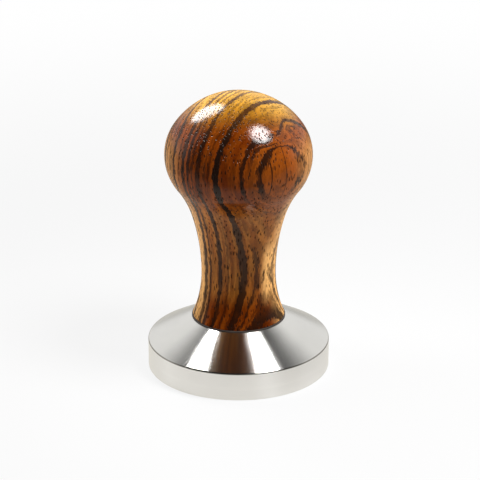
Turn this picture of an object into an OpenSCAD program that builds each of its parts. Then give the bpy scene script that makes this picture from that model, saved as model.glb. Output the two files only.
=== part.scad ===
// Espresso tamper: a turned steel base and a turned hardwood handle, joined by a threaded stud.
// Millimetres. The origin is the centre of the tamping face, and +Z runs up through the handle.

/* [Base] */
// Diameter of the tamping face and of the rim
base_d = 58; // [46:0.1:72]
// Height of the rim, up to where the cone meets it
rim_h = 9.1; // [6:0.1:12]
// Radius of the round between the rim and the cone
rim_round = 0.6; // [0.2:0.1:1.5]
// Break on the edge of the tamping face
face_break = 0.3; // [0.1:0.1:1]
// Height of the seat above the tamping face
seat_h = 16.7; // [13.5:0.1:24]
// Width of the seat that shows outside the washer
seat_margin = 0.1; // [0:0.1:2]

/* [Seat washer] */
// Thickness of the washer
washer_t = 0.5; // [0.3:0.1:2]
// How far the washer stands out past the foot of the handle
washer_proud = 0.2; // [-1:0.1:1]
// Radial clearance between the washer and the stud
washer_gap = 0.4; // [0.3:0.1:1]

/* [Handle] */
// Length of the handle, from its foot to the top of the knob
handle_h = 73.6; // [62:0.1:90]
// Diameter of the foot
foot_d = 29.4; // [24.5:0.1:36]
// Break on the edge of the foot
foot_break = 0.2; // [0.1:0.1:1]
// Diameter of the waist, where the neck is thinnest
waist_d = 23.6; // [19:0.1:24.5]
// Height of the waist above the foot
waist_h = 14.5; // [11:0.1:18]
// Lean of the neck, from the vertical, where the throat takes over
neck_lean = 17.5; // [15:0.5:19]
// Radius of the hollow throat under the knob
throat_r = 30.6; // [26:0.1:38]
// Radius of the knob's underside
shoulder_r = 16.8; // [14:0.1:19]
// Diameter of the knob at its widest
knob_d = 46.3; // [43:0.1:55]
// Radius of the knob's side, above the widest place
knob_side_r = 16.1; // [11:0.1:17.5]
// Height of the knob above its widest place
crown_h = 19.8; // [18:0.1:22]

/* [Thread] */
// Major diameter of the thread
thread_d = 8; // [6.5:0.1:10]
// Pitch of the thread
thread_pitch = 1.25; // [1:0.05:1.5]
// Radial clearance between the stud's thread and the threads that take it
thread_gap = 0.12; // [0.08:0.01:0.2]

/* [Stud] */
// Length of the stud
stud_l = 25; // [20:0.5:32]
// Width across the flats of the stud's hex socket
socket_af = 4; // [2.5:0.1:5]
// Depth of the hex socket
socket_depth = 4; // [2:0.1:6]

/* [Threaded insert] */
// Wall of the insert, from the major diameter of its thread to the ridges of its knurl
insert_wall = 2; // [1.5:0.1:3]
// Length of the insert
insert_l = 13; // [10:0.5:20]
// Depth of the insert below the face of the foot
insert_inset = 0.3; // [0.1:0.1:2]
// Number of ridges in the knurl
knurl_count = 30; // [18:1:40]
// Depth of the knurl
knurl_depth = 0.4; // [0.2:0.1:0.6]
// Gap that the glue fills around the insert
glue_gap = 0.05; // [0.02:0.01:0.2]

/* [Hole in the base] */
// Height of the drilled hole's bottom, above its point, over the tamping face
floor_t = 4; // [3.5:0.1:6]
// Depth of plain hole left below the thread
drill_extra = 1; // [0.5:0.1:2]
// Gap between the end of the stud and the lowest turn of the tapped thread
stud_end_gap = 0.5; // [0.2:0.1:2]
// Included angle of the drill's point
drill_angle = 118; // [90:1:140]

/* [Hidden] */
$fn = 96;

base_r = base_d / 2;
foot_r = foot_d / 2;
washer_r = foot_r + washer_proud;
seat_r = washer_r + seat_margin;
cone_angle = atan2(seat_h - rim_h, base_r - seat_r);
rim_turn = 90 - cone_angle;

foot_z = seat_h + washer_t;
top_z = foot_z + handle_h;
waist_z = foot_z + waist_h;
widest_z = top_z - crown_h;
waist_r = waist_d / 2;
knob_r = knob_d / 2;

thread_r = thread_d / 2;
thread_depth = 0.5413 * thread_pitch;       // height of the 60 degree profile
root_r = thread_r - thread_depth;
end_chamfer = 0.8;                          // chamfer on both ends of the stud
mouth_r = thread_r + thread_gap + 0.4;      // countersink of a tapped hole, at its face
thread_sides = 24;
fade_sides = 3;                             // sides over which a thread rises and dies away
arc_step = 4;                               // degrees of arc between two points of an outline
past = 1;                                   // how far a cut runs past the face that it opens

tap_z = floor_t + drill_extra;
stud_z = tap_z + stud_end_gap;
stud_top = stud_z + stud_l;
insert_z = foot_z + insert_inset;
insert_top = insert_z + insert_l;
insert_r = thread_r + insert_wall;
bore_r = insert_r + glue_gap;
bore_top = max(insert_top, stud_top) + 1;
drill_r = root_r - 0.1;

// Arcs of the handle's outline. The flare runs through the edge of the foot and is upright at
// the waist.
flare_r = (pow(foot_r - waist_r, 2) + waist_h * waist_h) / (2 * (foot_r - waist_r));
flare_c = [waist_r + flare_r, waist_z];
flare_start = 360 + atan2(foot_z - flare_c.y, foot_r - flare_c.x) - foot_break / flare_r * 180 / PI;
shoulder_c = [knob_r - shoulder_r, widest_z];
// The neck is upright at the waist and turns into the throat at neck_lean, and the throat touches
// the shoulder. That fixes how much larger the neck's radius is than the throat's.
neck_p = [waist_r + throat_r - shoulder_c.x, waist_z - shoulder_c.y];
neck_q = [1 - cos(neck_lean), sin(neck_lean)];
neck_b = neck_p * neck_q;
neck_f = neck_p * neck_p - pow(shoulder_r + throat_r, 2);
neck_extra = (-neck_b - sqrt(neck_b * neck_b - neck_q * neck_q * neck_f)) / (neck_q * neck_q);
neck_r = throat_r + neck_extra;
neck_c = [waist_r + neck_r, waist_z];
throat_c = [waist_r + throat_r, waist_z] + neck_extra * neck_q;
throat_end = atan2(shoulder_c.y - throat_c.y, shoulder_c.x - throat_c.x);
// The crown is level at the top and touches the round of the knob's side
side_c = [knob_r - knob_side_r, widest_z];
crown_r = (side_c.x * side_c.x + crown_h * crown_h - knob_side_r * knob_side_r)
    / (2 * (crown_h - knob_side_r));
crown_c = [0, top_z - crown_r];
crown_start = atan2(side_c.y - crown_c.y, side_c.x - crown_c.x);

// Points along an arc about c from angle a to angle b, without the first
function arc(c, r, a, b) =
    let (n = max(2, ceil(abs(b - a) / arc_step)))
    [for (i = [1:n]) let (t = a + (b - a) * i / n) c + r * [cos(t), sin(t)]];

// Outline of the base: face, rim, round, cone and seat
function base_outline() = concat(
    [[0, 0], [base_r - face_break, 0], [base_r, face_break]],
    [[base_r, rim_h - rim_round * tan(rim_turn / 2)]],
    arc([base_r - rim_round, rim_h - rim_round * tan(rim_turn / 2)], rim_round, 0, rim_turn),
    [[seat_r, seat_h], [0, seat_h]]
);

// Outline of the handle, with the blind bore for the insert
function handle_outline() = concat(
    [[bore_r, foot_z], [foot_r - foot_break, foot_z]],
    [flare_c + flare_r * [cos(flare_start), sin(flare_start)]],
    arc(flare_c, flare_r, flare_start, 180),
    arc(neck_c, neck_r, 180, 180 - neck_lean),
    arc(throat_c, throat_r, 180 - neck_lean, throat_end),
    arc(shoulder_c, shoulder_r, throat_end - 180, 0),
    arc(side_c, knob_side_r, 0, crown_start),
    arc(crown_c, crown_r, crown_start, 90),
    [[0, bore_top + bore_r / tan(drill_angle / 2)], [bore_r, bore_top]]
);

// Right-hand thread as a closed solid between z0 and z1. Its rows of points climb with the helix:
// start and end of the root, start and end of the crest, once a pitch, and a root again at the end.
// It rises from the root at one end of the helix and dies away into it at the other. widen is the
// share of a pitch by which the crest grows at each side, and limit(z, r) sets the radius near the
// flat ends.
// The places on the helix are the same for every thread, so the threads mesh at rest.
module thread_solid(z0, z1, root, crest, widen, limit) {
    n = thread_sides;
    steps = [widen, 1 / 4 - widen, 9 / 16 - widen, 11 / 16 + widen];
    radii = [root, root, crest, crest];
    lead = thread_pitch / 4;
    first = ceil((z0 + lead) / thread_pitch);
    last = floor((z1 - lead) / thread_pitch - 2 - widen);
    rows = concat(
        [for (turn = [first:last]) for (s = [0:3]) [turn + steps[s], radii[s], turn]],
        [[last + 1 + steps[0], root, last]]
    );
    top = len(rows) - 1;
    function ring_point(r, z, i) = [r * cos(360 * i / n), r * sin(360 * i / n), z];
    function flat_ring(z) = [for (i = [0:n - 1]) ring_point(limit(z, root), z, i)];
    function grown(turn, i) =
        min(1, (n * (turn - first) + i) / fade_sides, (n * (last - turn) + n - 1 - i) / fade_sides);
    function at(row, i) = (row + 1) * n + i;
    function quad(a, b, c, d) = [[a, b, c], [a, c, d]];
    points = concat(
        flat_ring(z0),
        [for (row = rows) for (i = [0:n - 1])
            let (z = thread_pitch * (row[0] + i / n), r = root + (row[1] - root) * grown(row[2], i))
            ring_point(limit(z, r), z, i)],
        flat_ring(z1)
    );
    columns = [for (row = [-1:top]) for (i = [0:n - 2])
        each quad(at(row, i), at(row + 1, i), at(row + 1, i + 1), at(row, i + 1))];
    // Across the seam a row meets the row that lies four higher
    seam = [for (row = [0:top - 5])
        each quad(at(row, n - 1), at(row + 1, n - 1), at(row + 5, 0), at(row + 4, 0))];
    seam_start = concat(
        quad(at(-1, n - 1), at(0, n - 1), at(0, 0), at(-1, 0)),
        [for (row = [0:3]) [at(0, n - 1), at(row + 1, 0), at(row, 0)]]
    );
    seam_end = concat(
        [for (row = [top - 4:top - 1]) [at(row, n - 1), at(row + 1, n - 1), at(top, 0)]],
        quad(at(top, n - 1), at(top + 1, n - 1), at(top + 1, 0), at(top, 0))
    );
    ends = [[for (i = [0:n - 1]) at(-1, i)], [for (i = [n - 1:-1:0]) at(top + 1, i)]];
    polyhedron(points, concat(columns, seam, seam_start, seam_end, ends));
}

// Cutter for a tapped hole with a countersunk mouth at the top, and one at the bottom if it goes
// through. It runs out past each open face, so that the thread is whole up to the face.
module tapped_hole(bottom, top, through) {
    run_out = 2.5 * thread_pitch;
    function flare(z) = mouth_r - min(top - z, through ? z - bottom : mouth_r);
    thread_solid(bottom - (through ? run_out : 0), top + run_out, root_r + thread_gap,
        thread_r + thread_gap, thread_gap / thread_pitch / 2, function (z, r) max(r, flare(z)));
}

module base() {
    color("silver")
    difference() {
        rotate_extrude() polygon(base_outline());
        tapped_hole(tap_z, seat_h, false);
        rotate_extrude() polygon([
            [0, floor_t - drill_r / tan(drill_angle / 2)],
            [drill_r, floor_t],
            [drill_r, tap_z + past],
            [0, tap_z + past]
        ]);
    }
}

module stud() {
    color("dimgray")
    difference() {
        thread_solid(stud_z, stud_top, root_r, thread_r, 0,
            function (z, r) min(r, thread_r - end_chamfer + min(z - stud_z, stud_top - z)));
        translate([0, 0, stud_top - socket_depth])
            cylinder(h = socket_depth + past, d = socket_af / cos(30), $fn = 6);
    }
}

module threaded_insert() {
    color("goldenrod")
    difference() {
        translate([0, 0, insert_z]) linear_extrude(insert_l) polygon([
            for (i = [0:knurl_count * 2 - 1])
                let (r = insert_r - (i % 2) * knurl_depth, t = 180 * i / knurl_count)
                r * [cos(t), sin(t)]
        ]);
        tapped_hole(insert_z, insert_top, true);
    }
}

module handle() {
    color("peru") rotate_extrude() polygon(handle_outline());
}

module seat_washer() {
    color("black")
    translate([0, 0, seat_h]) difference() {
        cylinder(h = washer_t, r = washer_r);
        translate([0, 0, -past]) cylinder(h = washer_t + 2 * past, r = thread_r + washer_gap);
    }
}

base();
stud();
threaded_insert();
handle();
seat_washer();
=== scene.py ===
import math

import bpy
import numpy as np
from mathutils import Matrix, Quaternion, Vector


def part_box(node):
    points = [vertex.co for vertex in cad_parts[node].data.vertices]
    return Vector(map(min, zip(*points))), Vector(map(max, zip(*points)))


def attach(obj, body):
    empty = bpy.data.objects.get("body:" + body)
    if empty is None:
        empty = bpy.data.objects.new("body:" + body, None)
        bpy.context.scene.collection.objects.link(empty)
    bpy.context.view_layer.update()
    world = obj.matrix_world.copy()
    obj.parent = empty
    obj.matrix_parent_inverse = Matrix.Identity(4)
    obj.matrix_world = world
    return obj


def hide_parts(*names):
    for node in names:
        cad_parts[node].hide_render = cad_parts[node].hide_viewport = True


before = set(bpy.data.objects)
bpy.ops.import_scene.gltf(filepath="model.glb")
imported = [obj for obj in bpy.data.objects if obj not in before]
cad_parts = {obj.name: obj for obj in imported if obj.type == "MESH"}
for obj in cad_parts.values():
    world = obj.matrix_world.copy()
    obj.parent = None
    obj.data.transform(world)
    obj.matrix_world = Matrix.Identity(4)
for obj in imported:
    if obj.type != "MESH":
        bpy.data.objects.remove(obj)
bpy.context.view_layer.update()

mm = 0.001
sharpAngle = 35  # degrees; where faces meet at more than this, the edge stays sharp


# (radius, height) points along a straight line, without its first point: start + share * (end -
# start). Extra points stand close to both ends, so that smooth shading bends only there and the
# face between them stays flat.
def straightRun(start, end):
    closeBy, mostShare, middle = 0.06, 0.2, 2  # mm from an end, share of the line, points between
    start, end = np.array(start, float), np.array(end, float)
    edge = min(closeBy / np.linalg.norm(end - start), mostShare)
    share = np.append(np.linspace(edge, 1 - edge, middle + 2), 1)
    return start + (end - start) * share[:, None]


# (radius, height) points along an arc, without its first point:
# centre + arcRadius * (cos angle, sin angle), the angle going evenly from one end to the other
def arcRun(centre, arcRadius, startAngle, endAngle, steps):
    angle = np.linspace(startAngle, endAngle, steps + 1)[1:]
    return np.array(centre) + arcRadius * np.stack([np.cos(angle), np.sin(angle)], axis=1)


# A closed mesh from a grid of points, row by row from one end to the other and column by column
# round the axis. The point at (row, column) is (radius * cos turn, radius * sin turn, height).
# The first and last rows are poles on the axis, unless the rows join up in a ring.
def turnedMesh(name, radius, height, ring=False):
    rows, columns = radius.shape
    turn = np.linspace(0, 2 * math.pi, columns, endpoint=False)
    grid = np.stack([radius * np.cos(turn), radius * np.sin(turn),
                     np.broadcast_to(height, radius.shape)], axis=2) * mm
    number = np.arange(rows * columns).reshape(rows, columns)
    if not ring:
        grid, number = grid[1:-1], number[:rows - 2]
    beside = np.roll(number, -1, axis=1)
    low, high = (number, np.roll(number, -1, axis=0)) if ring else (number[:-1], number[1:])
    lowBeside, highBeside = ((beside, np.roll(beside, -1, axis=0)) if ring
                             else (beside[:-1], beside[1:]))
    quads = np.stack([low, lowBeside, highBeside, high], axis=2).reshape(-1, 4)
    points, faces = grid.reshape(-1, 3), quads.tolist()
    if not ring:
        poles = np.array([[0, 0, height[0, 0]], [0, 0, height[-1, 0]]]) * mm
        lowPole, highPole = len(points), len(points) + 1
        points = np.concatenate([points, poles])
        faces += np.stack([beside[0], number[0], np.full(columns, lowPole)], axis=1).tolist()
        faces += np.stack([number[-1], beside[-1], np.full(columns, highPole)], axis=1).tolist()
    mesh = bpy.data.meshes.new(name)
    mesh.from_pydata(points.tolist(), [], faces)
    mesh.validate()
    mesh.shade_smooth()
    mesh.set_sharp_from_angle(angle=math.radians(sharpAngle))
    piece = bpy.data.objects.new(name, mesh)
    bpy.context.scene.collection.objects.link(piece)
    print(name, len(mesh.polygons), "faces")
    return piece


# An outline of (radius, height) points turned round the axis: every column is the outline
def turnedOutline(name, outline, columns, ring=False):
    radius = np.repeat(outline[:, :1], columns, axis=1)
    return turnedMesh(name, radius, outline[:, 1:2], ring)


# One shader node with its own choices and its inputs
def addNode(tree, kind, choices={}, **inputs):
    made = tree.nodes.new("ShaderNode" + kind)
    for key, value in choices.items():
        setattr(made, key, value)
    for key, value in inputs.items():
        setInput(tree, made, key.replace("_", " "), value)
    return made


# An input is a value or another node's output; a colour of three numbers is opaque
def setInput(tree, made, key, value):
    socket = made.inputs[key]
    if isinstance(value, bpy.types.NodeSocket):
        tree.links.new(value, socket)
    elif socket.type == "RGBA" and len(value) == 3:
        socket.default_value = (*value, 1)
    else:
        socket.default_value = value


# The result of one sum on numbers, such as ADD, MULTIPLY or MAXIMUM
def calc(tree, operation, *values):
    made = tree.nodes.new("ShaderNodeMath")
    made.operation = operation
    for place, value in enumerate(values):
        setInput(tree, made, place, value)
    return made.outputs[0]


# value taken from one range to another: toLow + (toHigh - toLow) * share, where share is how far
# value has come from fromLow to fromHigh, held to 0 to 1 and, unless kind is LINEAR, smoothed to
# share * share * (3 - 2 share)
def remap(tree, value, fromLow, fromHigh, toLow=0.0, toHigh=1.0, kind="SMOOTHSTEP"):
    made = addNode(tree, "MapRange", {"interpolation_type": kind}, Value=value, From_Min=fromLow,
                   From_Max=fromHigh, To_Min=toLow, To_Max=toHigh)
    return made.outputs["Result"]


# The colour between two colours: first + share * (second - first)
def blendColour(tree, share, first, second):
    made = tree.nodes.new("ShaderNodeMix")
    made.data_type = "RGBA"
    factor, colourA, colourB, result = 0, 6, 7, 2  # a mix node's sockets, when it mixes colours
    for place, value in ((factor, share), (colourA, first), (colourB, second)):
        setInput(tree, made, place, value)
    return made.outputs[result]


# A colour made lighter or darker: colour * amount
def shaded(tree, colour, amount):
    made = addNode(tree, "VectorMath", {"operation": "SCALE"}, Vector=colour, Scale=amount)
    return made.outputs[0]


# A share from 0 to 1 that drifts over the piece: noise of that size in millimetres
def drift(tree, place, size, detail=2.0):
    return addNode(tree, "TexNoise", Vector=place, Scale=1 / size, Detail=detail).outputs[0]


# place divided along each of its axes, so that a pattern gets that much longer there
def stretched(tree, place, factors):
    made = addNode(tree, "VectorMath", {"operation": "DIVIDE"})
    setInput(tree, made, 0, place)
    setInput(tree, made, 1, factors)
    return made.outputs[0]


# Noise drawn out along the axes: drift over the stretched place
def drawnOut(tree, place, factors, size, detail):
    return drift(tree, stretched(tree, place, factors), size, detail)


# Distance from the piece's axis: the length of place with its height left out
def fromAxis(tree, place):
    flat = addNode(tree, "VectorMath", {"operation": "MULTIPLY"})
    setInput(tree, flat, 0, place)
    setInput(tree, flat, 1, (1, 1, 0))
    length = addNode(tree, "VectorMath", {"operation": "LENGTH"})
    setInput(tree, length, 0, flat.outputs[0])
    return length.outputs["Value"]


# Relief that stands out by up to depth millimetres where height is 1
def relief(tree, height, depth):
    return addNode(tree, "Bump", Strength=1.0, Distance=depth * mm, Height=height).outputs[0]


# A new material: its tree, its shader and the place on the piece in millimetres
def newFinish(name, turnDegrees=0.0, centreHeight=0.0):
    finish = bpy.data.materials.new(name)
    finish.use_nodes = True
    tree = finish.node_tree
    shader = tree.nodes["Principled BSDF"]
    where = addNode(tree, "TexCoord").outputs["Object"]
    mapped = addNode(tree, "Mapping", Vector=where, Scale=(1 / mm,) * 3,
                     Rotation=(0, 0, math.radians(turnDegrees)), Location=(0, 0, -centreHeight))
    return finish, tree, shader, mapped.outputs[0]


# The piece gets one material and no other
def dress(piece, finish):
    piece.data.materials.clear()
    piece.data.materials.append(finish)


thread = {
    "radius": 4.0,  # outside radius, mm
    "pitch": 1.25,
    "depth": 0.676625,  # height of the profile, 0.5413 of a pitch
    "flank": 0.276,  # width of a flank in pitches; crest and root share the rest
    "start": 0.625,  # where a crest stands at no turn, in pitches
    "gap": 0.12,  # room between the stud and the threads that take it
    "rowsPerTurn": 16,
}


# Radius of a right-hand thread, as a flat-topped wave along the axis that climbs one pitch a turn:
# root + depth * clamp(1/2 + (1/4 - distance from the crest in pitches) / flank width)
def threadRadius(height, columns, rootRadius):
    turn = np.arange(columns) / columns
    phase = (height / thread["pitch"] - turn[None, :] - thread["start"]) % 1.0
    away = np.minimum(phase, 1 - phase)
    rise = np.clip(0.5 + (0.25 - away) / thread["flank"], 0, 1)
    return rootRadius + thread["depth"] * rise


# Heights of a thread's rows: evenly from low to high, rowsPerTurn of them in a pitch
def threadHeights(low, high):
    count = int(round((high - low) / thread["pitch"] * thread["rowsPerTurn"]))
    return np.linspace(low, high, count + 1)


handle = {
    "footRadius": 14.7,
    "waistRadius": 11.8,
    "waistHeight": 14.5,  # above the foot
    "footBreak": 0.2,
    "neckLean": 17.5,  # degrees
    "throatRadius": 30.6,
    "shoulderRadius": 16.8,
    "knobSideRadius": 16.1,
    "crownHeight": 19.8,
    "boreRadius": 6.05,
    "boreTop": 31.5,
    "drillPoint": 59.0,  # half the drill point's angle, degrees
    "columns": 192,
    "rows": (40, 40, 24, 36, 24, 60),  # on the flare, neck, throat, shoulder, side and crown
}


# The handle's outline: bore, foot, then arcs that touch end to end. The neck and the throat meet
# at neckLean. The neck's radius is the throat's plus extra: the throat's centre slides by
# extra * (1 - cos lean, sin lean), until its distance from the shoulder's centre is the sum of
# both radii, which makes extra the root of a quadratic.
def handleOutline(footHeight, knobRadius, topHeight):
    h = handle
    footRadius = h["footRadius"]
    waist = np.array([h["waistRadius"], footHeight + h["waistHeight"]])
    spread = footRadius - waist[0]
    flareRadius = (spread ** 2 + h["waistHeight"] ** 2) / (2 * spread)
    flareCentre = waist + [flareRadius, 0]
    flareStart = math.pi + (math.atan2(h["waistHeight"], flareRadius - spread)
                            - h["footBreak"] / flareRadius)
    lean = math.radians(h["neckLean"])
    widest = topHeight - h["crownHeight"]
    shoulder = np.array([knobRadius - h["shoulderRadius"], widest])
    unslid = waist + [h["throatRadius"], 0] - shoulder
    slide = np.array([1 - math.cos(lean), math.sin(lean)])
    excess = unslid @ unslid - (h["shoulderRadius"] + h["throatRadius"]) ** 2
    square, half = slide @ slide, unslid @ slide
    extra = (-half - math.sqrt(half ** 2 - square * excess)) / square
    neckRadius = h["throatRadius"] + extra
    neckCentre = waist + [neckRadius, 0]
    throat = waist + [h["throatRadius"], 0] + extra * slide
    throatEnd = math.atan2(*(shoulder - throat)[::-1])
    side = np.array([knobRadius - h["knobSideRadius"], widest])
    crownRadius = ((side[0] ** 2 + h["crownHeight"] ** 2 - h["knobSideRadius"] ** 2)
                   / (2 * (h["crownHeight"] - h["knobSideRadius"])))
    crown = np.array([0, topHeight - crownRadius])
    crownStart = math.atan2(*(side - crown)[::-1])
    tip = [0, h["boreTop"] + h["boreRadius"] / math.tan(math.radians(h["drillPoint"]))]
    boreTop, boreFoot = [h["boreRadius"], h["boreTop"]], [h["boreRadius"], footHeight]
    foot = [footRadius - h["footBreak"], footHeight]
    flareRows, neckRows, throatRows, shoulderRows, sideRows, crownRows = h["rows"]
    return np.concatenate([
        [tip],
        straightRun(tip, boreTop),
        straightRun(boreTop, boreFoot),
        straightRun(boreFoot, foot),
        arcRun(flareCentre, flareRadius, 0, flareStart, 1),
        arcRun(flareCentre, flareRadius, flareStart, math.pi, flareRows),
        arcRun(neckCentre, neckRadius, math.pi, math.pi - lean, neckRows),
        arcRun(throat, h["throatRadius"], math.pi - lean, throatEnd, throatRows),
        arcRun(shoulder, h["shoulderRadius"], throatEnd - math.pi, 0, shoulderRows),
        arcRun(side, h["knobSideRadius"], 0, crownStart, sideRows),
        arcRun(crown, crownRadius, crownStart, math.pi / 2, crownRows),
    ])


handleLow, handleHigh = (np.array(corner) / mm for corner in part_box("handle"))
handlePiece = turnedOutline("turned_handle",
                            handleOutline(handleLow[2], handleHigh[0], handleHigh[2]),
                            handle["columns"])
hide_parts("handle")
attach(handlePiece, "handle")

noLimit = 99  # a height past both ends of the handle

# Wood: growth layers stand upright, nearly side by side, and bend a little. Lengths are in mm.
# Across and along are measured level, across and along the layers, from the piece's axis; heights
# are counted from centreHeight; x and y are the piece's own; sideways is x as a share of the
# distance from the axis. A region is where smooth steps are past: each range gives where a step
# is 0 and where it is 1.
wood = {
    "layerTurn": 40.0,  # degrees from across the layers to the piece's +X
    "centreHeight": 50.0,
    # a layer's place across, and what bends it: height squared, height * along, height * across
    # and across * along, each times its number
    "bends": (0.001, 0.0015, -0.00133, -0.0054),
    "foldDepth": 2.2,  # the outermost layers turn back here
    "fold": {"along": [(-5.0, 2.0)], "across": [(17.5, 20.0)]},
    "dipDepth": 2.0,  # and are drawn together above the eye
    "dip": {"along": [(-12.0, -8.0), (3.0, -3.0)], "height": [(28.8, 30.8)],
            "across": [(12.0, 16.0)]},
    # how the layers waver: size of the noise, how far it reaches, how many times longer upright,
    # detail
    "wander": (9.0, 1.2, 5.0, 2.0),
    "ragged": (1.1, 1.5, 3.0, 3.0),
    "splinter": (0.40, 0.9, 5.0, 2.0),
    # each dark stripe: place, half width, strength, lowest and highest height. Two rows may hold
    # the upper and the lower part of one stripe.
    "stripes": [
        (-22.6, 0.45, 0.60, -noLimit, noLimit),
        (-20.8, 0.75, 0.90, -noLimit, noLimit),
        (-18.1, 0.45, 0.70, -noLimit, noLimit),
        (-15.6, 0.80, 0.90, -noLimit, noLimit),
        (-13.2, 0.35, 0.50, -noLimit, noLimit),
        (-11.2, 0.30, 0.55, -noLimit, noLimit),
        (-8.8, 0.60, 0.95, -noLimit, noLimit),
        (-6.2, 0.20, 0.40, -noLimit, noLimit),
        (-3.6, 0.75, 0.92, -noLimit, noLimit),
        (-1.3, 0.50, 0.80, -noLimit, noLimit),
        (0.5, 0.40, 0.75, 10, noLimit),
        (3.0, 0.70, 0.92, -noLimit, noLimit),
        (5.7, 0.18, 0.45, -noLimit, noLimit),
        (7.1, 0.16, 0.45, 20, noLimit),
        (9.5, 0.85, 1.00, 5, noLimit),
        (9.5, 0.85, 0.90, -noLimit, 8),
        (12.0, 0.28, 0.80, -noLimit, -6),
        (13.2, 0.16, 0.60, -noLimit, -22),
        (14.7, 1.00, 0.92, -noLimit, -28),
        (16.4, 0.50, 0.90, 15, noLimit),
        (16.8, 0.15, 0.65, -10, 14),
        (17.9, 0.40, 0.80, 26, noLimit),
        (20.1, 0.55, 0.92, 15, noLimit),
        (20.3, 0.12, 0.60, -10, 16),
    ],
    "stripeEdge": (0.20, 0.12),  # it begins this far outside its edge, and is full this far inside
    "stripeEnd": (4.0, 2.0),  # the same at its lowest and its highest height
    "swell": (3.5, 0.7, 3.0, 2.0),  # how the half widths waver, as above
    "narrower": 0.32,  # the stripes' half widths lose this much in the next region
    "narrow": {"along": [(-9.0, -4.0)], "across": [(16.0, 18.5)]},
    "crown": (31.0, 39.0),  # heights over which the crown begins
    "narrowerOnCrown": 0.12,
    "spines": [(-9.4, 0.26), (-4.4, 0.20)],  # place along and half width, upright lines in the fold
    "spineEdge": 0.16,  # how far inside its edge a spine is full
    "spineSway": (3.0, 0.7, 2.0, 2.0),  # how the spines waver, as above
    "inFold": (20.3, 20.9, 0.0, 0.85),  # from which layer to which, and the spines' strength
    # noise that is drawn out: across, along and up, then size and detail. Four numbers take it
    # from one range to another; two take it to 0 and 1.
    "fadeNoise": ((1, 1, 3), 2.2, 3.0),
    "fade": (0.30, 0.50, 0.84, 1.0),
    # the ground: darker and lighter streaks, on the neck and on the knob
    "streakNoise": ((1, 3, 8), 1.6, 3.0),
    "streak": (0.35, 0.65),
    "neckGround": ((0.185, 0.050, 0.0050), (0.262, 0.090, 0.0130)),
    "knobGround": ((0.095, 0.0150, 0.0006), (0.162, 0.0320, 0.0018)),
    "knobStart": (3.0, 15.0),  # heights over which the knob's ground begins
    "footStart": (-20.0, -27.0),  # and begins again at the foot
    "outerGround": (0.180, 0.040, 0.0030),
    "outerStart": (15.5, 18.5),  # places across
    "paleWoodAndPaintedLight": (0.58, 0.30, 0.095),  # a patch low on one side, partly paler wood and partly painted light, and both sides of the handle, painted paler as if lit from the sides
    "paleAndLitPatch": {"along": [(-4.0, -0.5)], "across": [(6.0, 9.0)],
                  "height": [(-28.0, -21.0), (-1.0, -10.0)]},
    "paintedSideLight": {"sideways": [(0.70, 1.0)], "height": [(31.0, 23.0)]},
    "paintedSideLightShare": (0.0, 12.0, 0.95, 0.50),  # at the sides: from the neck to the knob
    "paintedCrownLight": (0.40, 0.205, 0.018),  # painted light: the crown's top, as if lit from above, is painted gold, most on its far side
    "paintedCrownLightRegion": {"y": [(-19.0, 0.0)], "height": [(31.0, 38.0)]},
    "paintedCrownLightShare": (-18.0, -10.0, 0.3, 1.0),  # along x
    "fibreNoise": ((1, 1, 14), 0.28, 3.0),
    "fibreShade": (0.25, 0.75, 0.80, 1.20),
    "lineNoise": (0.75, 2.0),  # fine lines that follow the layers: size, detail
    "lineStretch": (0.12, 0.04),  # the place along and the height are taken this many times
    "lineShade": (0.36, 0.62, 0.68, 1.14),
    "stripe": (0.012, 0.0045, 0.0025),
    "crownStripe": (0.045, 0.016, 0.004),
    "pore": (0.012, 0.005, 0.003),
    "poreShare": 0.8,
    "poreStretch": (1, 1, 4),  # pores are drawn out upright
    "poreSpacing": 0.80,
    "poreSize": (0.32, 0.20),  # in spacings from a pore's middle: where it begins, and is full
    "poreDepth": 0.10,
    "fibreDepth": 0.25,  # in pore depths
    "roughness": 0.42,
    "coat": 0.55,
    "coatLostInPores": 0.45,
    "coatAtFoot": (-31.0, 8.0, 0.4, 1.0),  # two heights, and the share of the coat there
    "coatRoughness": 0.10,
    "sheen": 0.08,
    "sheenRoughness": 0.35,
    "sheenTint": (1.0, 0.62, 0.25),
}


# How far a point is inside a region, 0 to 1: the product of its smooth steps
def inside(tree, places, region):
    share = 1.0
    for name, ranges in region.items():
        for begin, full in ranges:
            share = calc(tree, "MULTIPLY", share, remap(tree, places[name], begin, full))
    return share


# reach * (noise - 1/2), for noise of that size that is longer upright
def waver(tree, place, size, reach, upright, detail):
    noise = drawnOut(tree, place, (1, 1, upright), size, detail)
    return calc(tree, "MULTIPLY", calc(tree, "SUBTRACT", noise, 0.5), reach)


# The places on the wood by name. Those across, along and height stand in the layers' directions,
# x and y in the piece's own; sideways is |x| / distance from the axis.
def woodPlaces(tree, place):
    across, along, height = addNode(tree, "SeparateXYZ", Vector=place).outputs
    own = addNode(tree, "SeparateXYZ", Vector=addNode(tree, "TexCoord").outputs["Object"])
    x, y = (calc(tree, "DIVIDE", own.outputs[i], mm) for i in (0, 1))
    sideways = calc(tree, "DIVIDE", calc(tree, "ABSOLUTE", x), fromAxis(tree, place))
    return {"across": across, "along": along, "height": height, "x": x, "y": y,
            "sideways": sideways}


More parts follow.
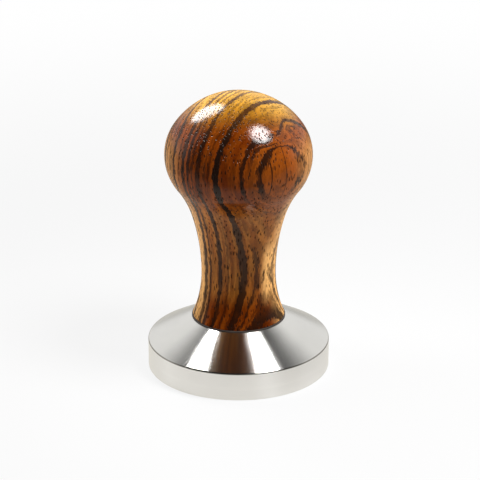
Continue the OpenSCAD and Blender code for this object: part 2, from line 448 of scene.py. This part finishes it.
# A layer's place: across + height * (b1 height + b2 along + b3 across) + b4 across * along
# - fold - dip + wavers, with the bends b1 to b4. Given too without its fold.
def layerPlace(tree, place, places):
    across, along, height = (places[name] for name in ("across", "along", "height"))
    byHeight, byAlong, byAcross, twist = wood["bends"]
    sag = calc(tree, "ADD", calc(tree, "MULTIPLY", height, byHeight),
               calc(tree, "MULTIPLY", along, byAlong))
    sag = calc(tree, "ADD", sag, calc(tree, "MULTIPLY", across, byAcross))
    layer = calc(tree, "MULTIPLY_ADD", sag, height, across)
    twisted = calc(tree, "MULTIPLY", calc(tree, "MULTIPLY", across, along), twist)
    layer = calc(tree, "ADD", layer, twisted)
    fold = calc(tree, "MULTIPLY", inside(tree, places, wood["fold"]), wood["foldDepth"])
    dip = calc(tree, "MULTIPLY", inside(tree, places, wood["dip"]), wood["dipDepth"])
    layer = calc(tree, "SUBTRACT", layer, calc(tree, "ADD", fold, dip))
    for noise in ("wander", "ragged", "splinter"):
        layer = calc(tree, "ADD", layer, waver(tree, place, *wood[noise]))
    return layer, calc(tree, "ADD", layer, fold)


# How dark the stripes are, 0 to 1: the darkest of all the bands, times a fade that drifts. A band
# is its strength times a smooth step of |layer - its place| + what the stripes lose in width.
def woodStripes(tree, place, places, layer, unfolded, onCrown):
    lost = calc(tree, "MULTIPLY", inside(tree, places, wood["narrow"]), wood["narrower"])
    lost = calc(tree, "ADD", lost, waver(tree, place, *wood["swell"]))
    lost = calc(tree, "MULTIPLY_ADD", onCrown, wood["narrowerOnCrown"], lost)
    height, dark = places["height"], 0.0
    outside, within = wood["stripeEdge"]
    before, after = wood["stripeEnd"]
    for centre, halfWidth, strength, lowest, highest in wood["stripes"]:
        away = calc(tree, "ABSOLUTE", calc(tree, "SUBTRACT", layer, centre))
        band = remap(tree, calc(tree, "ADD", lost, away), halfWidth + outside,
                     halfWidth - within, 0.0, strength)
        if lowest > -noLimit:
            start = remap(tree, height, lowest - before, lowest + after)
            band = calc(tree, "MULTIPLY", band, start)
        if highest < noLimit:
            end = remap(tree, height, highest + before, highest - after)
            band = calc(tree, "MULTIPLY", band, end)
        dark = calc(tree, "MAXIMUM", dark, band)
    inFold = remap(tree, unfolded, *wood["inFold"])
    sway = calc(tree, "ADD", places["along"], waver(tree, place, *wood["spineSway"]))
    for centre, halfWidth in wood["spines"]:
        away = calc(tree, "ABSOLUTE", calc(tree, "SUBTRACT", sway, centre))
        spine = remap(tree, away, halfWidth, halfWidth - wood["spineEdge"])
        dark = calc(tree, "MAXIMUM", dark, calc(tree, "MULTIPLY", spine, inFold))
    fade = remap(tree, drawnOut(tree, place, *wood["fadeNoise"]), *wood["fade"])
    return calc(tree, "MULTIPLY", dark, fade)


# The colour between the stripes: streaks between two browns, which differ on the neck and on the
# knob and foot, then the outer layers, a pale patch that is partly paler wood and partly painted
# light, sides painted paler as if lit from the sides, and painted light that makes the crown's top
# gold, laid over them. All of it is multiplied by the shade of the fibres and of the fine lines.
def woodGround(tree, place, places, layer, fibre):
    height = places["height"]
    streak = remap(tree, drawnOut(tree, place, *wood["streakNoise"]), *wood["streak"])
    onKnob = calc(tree, "MAXIMUM", remap(tree, height, *wood["knobStart"]),
                  remap(tree, height, *wood["footStart"]))
    ground = blendColour(tree, onKnob, blendColour(tree, streak, *wood["neckGround"]),
                         blendColour(tree, streak, *wood["knobGround"]))
    outer = remap(tree, places["across"], *wood["outerStart"])
    ground = blendColour(tree, outer, ground, wood["outerGround"])
    # painted light: the handle's sides made paler, as if lit from the sides; the patch is partly
    # paler wood and partly painted light
    sides = calc(tree, "MULTIPLY", inside(tree, places, wood["paintedSideLight"]),
                 remap(tree, height, *wood["paintedSideLightShare"]))
    paleWoodAndPaintedLight = calc(tree, "MAXIMUM", inside(tree, places, wood["paleAndLitPatch"]), sides)
    ground = blendColour(tree, paleWoodAndPaintedLight, ground, wood["paleWoodAndPaintedLight"])
    # painted light: gold on the crown's top, fuller on its far side and weaker at the far left
    paintedCrownLight = calc(tree, "MULTIPLY", inside(tree, places, wood["paintedCrownLightRegion"]),
                remap(tree, places["x"], *wood["paintedCrownLightShare"]))
    ground = blendColour(tree, paintedCrownLight, ground, wood["paintedCrownLight"])
    onAlong, onHeight = wood["lineStretch"]
    sheet = addNode(tree, "CombineXYZ", X=layer,
                    Y=calc(tree, "MULTIPLY", places["along"], onAlong),
                    Z=calc(tree, "MULTIPLY", height, onHeight)).outputs[0]
    line = remap(tree, drift(tree, sheet, *wood["lineNoise"]), *wood["lineShade"])
    shade = calc(tree, "MULTIPLY", remap(tree, fibre, *wood["fibreShade"], "LINEAR"), line)
    return shaded(tree, ground, shade)


# Striped hardwood under a clear coat: the ground, the stripes over it, then the pores, small dots
# across the grain and dashes along it. The coat is thinner in the pores and towards the foot.
def woodFinish():
    finish, tree, shader, place = newFinish("lacqueredWood", wood["layerTurn"],
                                            wood["centreHeight"])
    places = woodPlaces(tree, place)
    layer, unfolded = layerPlace(tree, place, places)
    onCrown = remap(tree, places["height"], *wood["crown"])
    dark = woodStripes(tree, place, places, layer, unfolded, onCrown)
    fibre = drawnOut(tree, place, *wood["fibreNoise"])
    ground = woodGround(tree, place, places, layer, fibre)
    stripe = blendColour(tree, onCrown, wood["stripe"], wood["crownStripe"])
    colour = blendColour(tree, dark, ground, stripe)
    cell = addNode(tree, "TexVoronoi", Vector=stretched(tree, place, wood["poreStretch"]),
                   Scale=1 / wood["poreSpacing"]).outputs["Distance"]
    pore = remap(tree, cell, *wood["poreSize"])
    colour = blendColour(tree, calc(tree, "MULTIPLY", pore, wood["poreShare"]), colour, wood["pore"])
    surface = calc(tree, "SUBTRACT", calc(tree, "MULTIPLY", fibre, wood["fibreDepth"]), pore)
    bump = relief(tree, surface, wood["poreDepth"])
    coat = calc(tree, "MULTIPLY", calc(tree, "MULTIPLY_ADD", pore, -wood["coatLostInPores"],
                                       wood["coat"]),
                remap(tree, places["height"], *wood["coatAtFoot"]))
    setInput(tree, shader, "Base Color", colour)
    setInput(tree, shader, "Roughness", wood["roughness"])
    setInput(tree, shader, "Specular IOR Level", 0.0)  # the coat alone gives the gloss
    setInput(tree, shader, "Coat Weight", coat)
    setInput(tree, shader, "Coat Roughness", wood["coatRoughness"])
    setInput(tree, shader, "Sheen Weight", wood["sheen"])
    setInput(tree, shader, "Sheen Roughness", wood["sheenRoughness"])
    setInput(tree, shader, "Sheen Tint", wood["sheenTint"])
    setInput(tree, shader, "Normal", bump)
    setInput(tree, shader, "Coat Normal", bump)
    return finish


dress(handlePiece, woodFinish())
print("handle done")

base = {
    "rimRound": 0.6,
    "faceBreak": 0.3,
    "rimHeight": 9.1,
    "seatRadius": 15.0,
    "mouthRadius": 4.52,
    "drillRadius": 3.223,
    "drillPoint": 59.0,  # half the drill point's angle, degrees
    "drillTop": 4.0,
    "tapBottom": 5.0,
    "columns": 192,
    "roundRows": 6,
    "breakRows": 4,
}


# The base's outline: tamping face, rim, round, cone and seat. The round has its centre rimRound
# in from the rim, and low enough for the arc to end where the cone begins.
def baseOutline(rimRadius, seatHeight):
    b = base
    coneAngle = math.atan2(seatHeight - b["rimHeight"], rimRadius - b["seatRadius"])
    rimTurn = math.pi / 2 - coneAngle
    roundCentre = [rimRadius - b["rimRound"], b["rimHeight"] - b["rimRound"] * math.tan(rimTurn / 2)]
    edge = b["faceBreak"]
    rounded = arcRun(roundCentre, b["rimRound"], 0, rimTurn, b["roundRows"])
    seat = [b["seatRadius"], seatHeight]
    return np.concatenate([
        [[0, 0]],
        straightRun([0, 0], [rimRadius - edge, 0]),
        arcRun([rimRadius - edge, edge], edge, -math.pi / 2, 0, b["breakRows"]),
        straightRun([rimRadius, edge], [rimRadius, roundCentre[1]]),
        rounded,
        straightRun(rounded[-1], seat),
        straightRun(seat, [b["mouthRadius"], seatHeight]),
    ])


# The base: its outline turned, then the tapped hole down from its mouth, then the drilled hole
# down to its point. The mouth is countersunk at 45 degrees: there the radius is at least
# mouthRadius - (seat height - height).
def makeBase():
    b, columns = base, base["columns"]
    baseHigh = np.array(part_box("base")[1]) / mm
    outline = baseOutline(baseHigh[0], baseHigh[2])
    tapped = threadHeights(b["tapBottom"], baseHigh[2])[::-1][1:, None]
    walls = threadRadius(tapped, columns, thread["radius"] - thread["depth"] + thread["gap"])
    walls = np.maximum(walls, b["mouthRadius"] - (baseHigh[2] - tapped))
    step = 0.01  # height over which the last of the thread runs into the drilled wall
    tip = b["drillTop"] - b["drillRadius"] / math.tan(math.radians(b["drillPoint"]))
    drilled = np.array([[b["drillRadius"], b["tapBottom"] - step],
                        [b["drillRadius"], b["drillTop"]], [0, tip]])
    radius = np.concatenate([np.repeat(outline[:, :1], columns, axis=1), walls,
                             np.repeat(drilled[:, :1], columns, axis=1)])
    height = np.concatenate([outline[:, 1:], tapped, drilled[:, 1:]])
    return turnedMesh("steel_base", radius, height)


basePiece = makeBase()
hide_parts("base")
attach(basePiece, "base")

# Steel: heights are in mm from rimHeight
steel = {
    "colour": (0.64, 0.63, 0.60),
    # painted reflection: the rim is painted lighter and bluer than the cone, to stand for the bright
    # floor it reflects
    "rimColourWithPaintedReflection": (0.88, 0.89, 0.93),
    "rimStart": (-0.05, -0.35),  # heights where the rim's colour begins, and is full
    "edgePaintedDark": (0.26, 0.25, 0.23),  # painted reflection: the round between cone and rim painted dark, for the dark it reflects
    "edgeLow": (-0.50, -0.25),  # the same for it, from below and from above
    "edgeHigh": (0.12, -0.02),
    "coneRoughness": 0.22,
    "rimRoughness": 0.20,
    "mark": (0.11, 3.0),  # the lathe marks: spacing in mm, detail of the noise
    "markDepth": 0.0006,
    "cloud": (9.0, 2.0),  # the same for faint clouds
    "shade": (0.3, 0.7, 0.97, 1.03),  # from noise to how light the steel is
    "dulling": (0.3, 0.7, -0.01, 0.01),  # from noise to added roughness
    "anisotropy": 1.0,
    "anisotropyTurn": 0.25,
}


# Steel turned on a lathe: fine rings round the axis, stretched reflections across them. The
# colour is multiplied by the shade of the marks and of the clouds; clouds dull it a little too.
def steelFinish():
    finish, tree, shader, place = newFinish("turnedSteel")
    height = addNode(tree, "SeparateXYZ", Vector=place).outputs[2]
    aboveRim = calc(tree, "SUBTRACT", height, base["rimHeight"])
    onRim = remap(tree, aboveRim, *steel["rimStart"])
    rings = addNode(tree, "CombineXYZ", X=fromAxis(tree, place), Y=height).outputs[0]
    mark = drift(tree, rings, *steel["mark"])
    cloud = drift(tree, place, *steel["cloud"])
    # painted reflection: the rim's lighter colour stands for the floor it reflects
    colour = blendColour(tree, onRim, steel["colour"], steel["rimColourWithPaintedReflection"])
    # painted reflection: a dark line painted on the round between cone and rim
    onEdge = calc(tree, "MULTIPLY", remap(tree, aboveRim, *steel["edgeLow"]),
                  remap(tree, aboveRim, *steel["edgeHigh"]))
    colour = blendColour(tree, onEdge, colour, steel["edgePaintedDark"])
    shade = calc(tree, "MULTIPLY", remap(tree, mark, *steel["shade"], "LINEAR"),
                 remap(tree, cloud, *steel["shade"], "LINEAR"))
    roughness = calc(tree, "MULTIPLY_ADD", onRim, steel["rimRoughness"] - steel["coneRoughness"],
                     steel["coneRoughness"])
    roughness = calc(tree, "ADD", roughness, remap(tree, cloud, *steel["dulling"], "LINEAR"))
    tangent = addNode(tree, "Tangent", {"direction_type": "RADIAL", "axis": "Z"})
    setInput(tree, shader, "Base Color", shaded(tree, colour, shade))
    setInput(tree, shader, "Metallic", 1.0)
    setInput(tree, shader, "Roughness", roughness)
    setInput(tree, shader, "Anisotropic", steel["anisotropy"])
    setInput(tree, shader, "Anisotropic Rotation", steel["anisotropyTurn"])
    setInput(tree, shader, "Normal", relief(tree, mark, steel["markDepth"]))
    setInput(tree, shader, "Tangent", tangent.outputs[0])
    return finish


dress(basePiece, steelFinish())
print("base done")

# Washer: a flat rubber ring, its edges just rounded
washer = {
    "boreRadius": 4.4,
    "round": 0.12,
    "roundRows": 5,
    "columns": 192,
    "colour": (0.030, 0.019, 0.014),
    "worn": (0.050, 0.034, 0.026),
    "patchNoise": (3.0, 2.0),  # size in mm, detail
    "patch": (0.35, 0.70),  # noise at which the worn colour begins, and is full
    "grainNoise": (0.18, 4.0),
    "grainDepth": 0.010,
    "roughness": (0.3, 0.7, 0.56, 0.68),  # from noise to roughness
}


# The ring's section: four straight runs joined by quarter circles of radius washer["round"]
def washerOutline(low, high):
    inner, outer = washer["boreRadius"], high[0]
    bend = washer["round"]
    # each corner's centre, and the angle at which its quarter circle starts, in half turns
    corners = [(outer - bend, low[2] + bend, -0.5), (outer - bend, high[2] - bend, 0.0),
               (inner + bend, high[2] - bend, 0.5), (inner + bend, low[2] + bend, 1.0)]
    outline = [np.array([[inner + bend, low[2]]])]
    for radius, height, start in corners:
        begin = np.array([radius, height]) + bend * np.round([math.cos(start * math.pi),
                                                             math.sin(start * math.pi)])
        outline.append(straightRun(outline[-1][-1], begin))
        outline.append(arcRun([radius, height], bend, start * math.pi, (start + 0.5) * math.pi,
                              washer["roundRows"]))
    return np.concatenate(outline)[:-1]


# Matt rubber: its colour lies between two near-blacks by patches of noise, and a fine grain is in
# its roughness and its relief
def rubberFinish():
    finish, tree, shader, place = newFinish("washerRubber")
    grain = drift(tree, place, *washer["grainNoise"])
    patch = remap(tree, drift(tree, place, *washer["patchNoise"]), *washer["patch"])
    setInput(tree, shader, "Base Color", blendColour(tree, patch, washer["colour"], washer["worn"]))
    setInput(tree, shader, "Roughness", remap(tree, grain, *washer["roughness"], "LINEAR"))
    setInput(tree, shader, "Normal", relief(tree, grain, washer["grainDepth"]))
    return finish


washerLow, washerHigh = (np.array(corner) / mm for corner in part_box("seat_washer"))
washerPiece = turnedOutline("rubber_washer", washerOutline(washerLow, washerHigh),
                            washer["columns"], ring=True)
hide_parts("seat_washer")
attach(washerPiece, "seat_washer")
dress(washerPiece, rubberFinish())
print("washer done")

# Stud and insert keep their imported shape, and get metal with dull patches and fine turned rings
hardware = {
    "stud": {"colour": (0.34, 0.33, 0.32), "dull": (0.18, 0.17, 0.16),
             "roughness": (0.3, 0.7, 0.33, 0.50)},  # from noise to roughness
    "threaded_insert": {"colour": (0.74, 0.54, 0.25), "dull": (0.50, 0.32, 0.12),
                        "roughness": (0.3, 0.7, 0.25, 0.42)},
}
metal = {
    "patchNoise": (1.8, 4.0),  # size in mm, detail
    "patch": (0.40, 0.75),  # noise at which the dull colour begins, and is full
    "mark": (0.08, 3.0),
    "markDepth": 0.002,
}


# Bare metal: colour and roughness follow patches of noise, and noise on (distance from the axis,
# height) stands out as rings
def hardwareFinish(name, look):
    finish, tree, shader, place = newFinish(name)
    patch = drift(tree, place, *metal["patchNoise"])
    height = addNode(tree, "SeparateXYZ", Vector=place).outputs[2]
    rings = addNode(tree, "CombineXYZ", X=fromAxis(tree, place), Y=height).outputs[0]
    mark = drift(tree, rings, *metal["mark"])
    setInput(tree, shader, "Base Color",
             blendColour(tree, remap(tree, patch, *metal["patch"]), look["colour"], look["dull"]))
    setInput(tree, shader, "Metallic", 1.0)
    setInput(tree, shader, "Roughness", remap(tree, patch, *look["roughness"], "LINEAR"))
    setInput(tree, shader, "Normal", relief(tree, mark, metal["markDepth"]))
    return finish


for node, look in hardware.items():
    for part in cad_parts[node].material_slots:
        part.material = hardwareFinish(node + "Metal", look)
print("stud and insert done")

# Studio, in metres
studio = {
    "distance": 0.70,  # camera to the middle of the part
    "pitch": 21.316,  # degrees down to the middle
    "middle": 0.05,
    "lens": 166.79,
    "sensor": 36.0,
    "clip": (0.01, 20.0),
    "aim": (0.00045, 0.0, 0.0422),
}
# Lamps: size is width and height, turn is in degrees about the line to the aim, power in watts
lamps = {
    "lampBack": {"at": (-0.0416, 0.0336, 0.134), "aim": (-0.0094, -0.0077, 0.087),
                 "size": (0.031, 0.049), "turn": 38.0, "power": 0.092},
    "lampFront": {"at": (0.110, -0.060, 0.272), "aim": (0.0067, -0.0159, 0.083),
                  "size": (0.100, 0.100), "turn": 0.0, "power": 1.02},
}
# Floor: four numbers are a smooth step, two places and the strengths there
floorPaper = {
    "half": 1.5,  # half its width
    "colour": (0.8, 0.8, 0.8),
    "glowShare": 0.88,  # the rest is plain paper, which takes the shadow
    "white": (0.08, 0.45, 0.955, 1.09),  # for the camera, by distance from the middle
    "mirrored": (-0.125, -0.065, 0.0, 0.8),  # for reflections, from front to back
    "mirroredFar": (0.06, 0.17, 1.0, 0.45),  # by distance from the middle
    "mirroredRight": (0.015, 0.045, 1.0, 0.86),  # from left to right
    "mirroredTint": (1.0, 0.95, 0.82),
    "left": 1.3,  # what counts as beside the part, for each metre to the left and the right
    "right": 0.5,
    "bounced": (-0.060, 0.0, 0.42, 2.7),  # for matt surfaces, by depth + beside
}
# Room: four numbers as for the floor, by x, y or z of the direction looked in, from -1 to 1
roomLight = {
    "lean": 0.04,  # how much the left side counts as higher
    "overhead": (0.55, 0.93, 1.0, 0.03),  # by z
    "front": (-0.25, 0.15, 0.04, 1.06),  # by y
    "left": (-0.35, -0.95, 0.50, 2.60),  # for matt surfaces, by x
    "right": (0.45, 0.95, 0.0, 0.70),  # added to it
    "low": (-0.10, 0.12, 0.55, 1.0),  # for reflections, by z
}


# The camera: at distance from the middle, raised by the pitch, looking at aim
def makeCamera():
    pitch = math.radians(studio["pitch"])
    data = bpy.data.cameras.new("camera")
    data.lens, data.sensor_width = studio["lens"], studio["sensor"]
    data.clip_start, data.clip_end = studio["clip"]
    camera = bpy.data.objects.new("camera", data)
    camera.location = (0, -studio["distance"] * math.cos(pitch),
                       studio["middle"] + studio["distance"] * math.sin(pitch))
    look = Vector(studio["aim"]) - camera.location
    camera.rotation_euler = look.to_track_quat("-Z", "Y").to_euler()
    bpy.context.scene.collection.objects.link(camera)
    bpy.context.scene.camera = camera


# An oval lamp that faces its aim, turned about the line to it
def makeLamp(name, settings):
    data = bpy.data.lights.new(name, "AREA")
    data.shape = "ELLIPSE"
    data.size, data.size_y = settings["size"]
    data.energy = settings["power"]
    lamp = bpy.data.objects.new(name, data)
    lamp.location = settings["at"]
    facing = (Vector(settings["aim"]) - lamp.location).to_track_quat("-Z", "Y")
    turn = Quaternion((0, 0, 1), math.radians(settings["turn"]))
    lamp.rotation_euler = (facing @ turn).to_euler()
    lamp.visible_camera = False
    bpy.context.scene.collection.objects.link(lamp)


# The floor: a square of paper that glows. The glow is camera * white + glossy * mirrored + rest *
# bounced, where camera, glossy and rest are 1 for the rays of that kind. It is white to the
# camera, falls off to the front in reflections, and lights matt surfaces from the back and sides.
def makeFloor():
    f, half = floorPaper, floorPaper["half"]
    mesh = bpy.data.meshes.new("floor")
    mesh.from_pydata([(-half, -half, 0), (half, -half, 0), (half, half, 0), (-half, half, 0)],
                     [], [(0, 1, 2, 3)])
    floor = bpy.data.objects.new("floor", mesh)
    bpy.context.scene.collection.objects.link(floor)
    finish = bpy.data.materials.new("floorPaper")
    finish.use_nodes = True
    tree = finish.node_tree
    tree.nodes.clear()
    path = addNode(tree, "LightPath")
    camera, glossy = path.outputs["Is Camera Ray"], path.outputs["Is Glossy Ray"]
    place = addNode(tree, "TexCoord").outputs["Object"]
    across, depth = addNode(tree, "SeparateXYZ", Vector=place).outputs[:2]
    away = addNode(tree, "VectorMath", {"operation": "LENGTH"}, Vector=place).outputs["Value"]
    white = remap(tree, away, *f["white"])
    mirrored = calc(tree, "MULTIPLY", remap(tree, depth, *f["mirrored"]),
                    remap(tree, away, *f["mirroredFar"]))
    mirrored = calc(tree, "MULTIPLY", mirrored, remap(tree, across, *f["mirroredRight"]))
    beside = calc(tree, "MAXIMUM", calc(tree, "MULTIPLY", across, -f["left"]),
                  calc(tree, "MULTIPLY", across, f["right"]))
    bounced = remap(tree, calc(tree, "ADD", beside, depth), *f["bounced"])
    rest = calc(tree, "SUBTRACT", 1.0, calc(tree, "MAXIMUM", camera, glossy))
    glow = calc(tree, "ADD", calc(tree, "MULTIPLY", camera, white),
                calc(tree, "MULTIPLY", glossy, mirrored))
    glow = calc(tree, "ADD", glow, calc(tree, "MULTIPLY", rest, bounced))
    tint = blendColour(tree, glossy, (1, 1, 1), f["mirroredTint"])
    paper = addNode(tree, "BsdfDiffuse", Color=f["colour"])
    shine = addNode(tree, "Emission", Color=tint, Strength=glow)
    mixed = addNode(tree, "MixShader", Fac=f["glowShare"])
    tree.links.new(paper.outputs[0], mixed.inputs[1])
    tree.links.new(shine.outputs[0], mixed.inputs[2])
    out = addNode(tree, "OutputMaterial")
    tree.links.new(mixed.outputs[0], out.inputs["Surface"])
    mesh.materials.append(finish)


# The room: white to the camera. To everything else its strength is overhead * front * lit, so it
# falls to dark overhead and in front. lit is low for reflections, a little darker near the floor,
# and left + right for matt surfaces, which get more light from the sides.
def makeRoom():
    r = roomLight
    world = bpy.data.worlds.new("room")
    world.use_nodes = True
    tree = world.node_tree
    tree.nodes.clear()
    heading = addNode(tree, "TexCoord").outputs["Generated"]
    x, y, z = addNode(tree, "SeparateXYZ", Vector=heading).outputs
    path = addNode(tree, "LightPath")
    glossy = path.outputs["Is Glossy Ray"]
    raised = calc(tree, "MULTIPLY_ADD", calc(tree, "MINIMUM", x, 0.0), -r["lean"], z)
    light = calc(tree, "MULTIPLY", remap(tree, raised, *r["overhead"]),
                 remap(tree, y, *r["front"]))
    beside = calc(tree, "ADD", remap(tree, x, *r["left"]), remap(tree, x, *r["right"]))
    low = remap(tree, z, *r["low"])
    lit = calc(tree, "ADD", calc(tree, "MULTIPLY", glossy, low),
               calc(tree, "MULTIPLY", calc(tree, "SUBTRACT", 1.0, glossy), beside))
    strength = calc(tree, "MAXIMUM", calc(tree, "MULTIPLY", light, lit),
                    path.outputs["Is Camera Ray"])
    room = addNode(tree, "Background", Color=(1, 1, 1), Strength=strength)
    out = addNode(tree, "OutputWorld")
    tree.links.new(room.outputs[0], out.inputs["Surface"])
    bpy.context.scene.world = world


makeCamera()
makeFloor()
makeRoom()
for name, settings in lamps.items():
    makeLamp(name, settings)
bpy.context.scene.view_settings.view_transform = "Standard"
print("studio done")
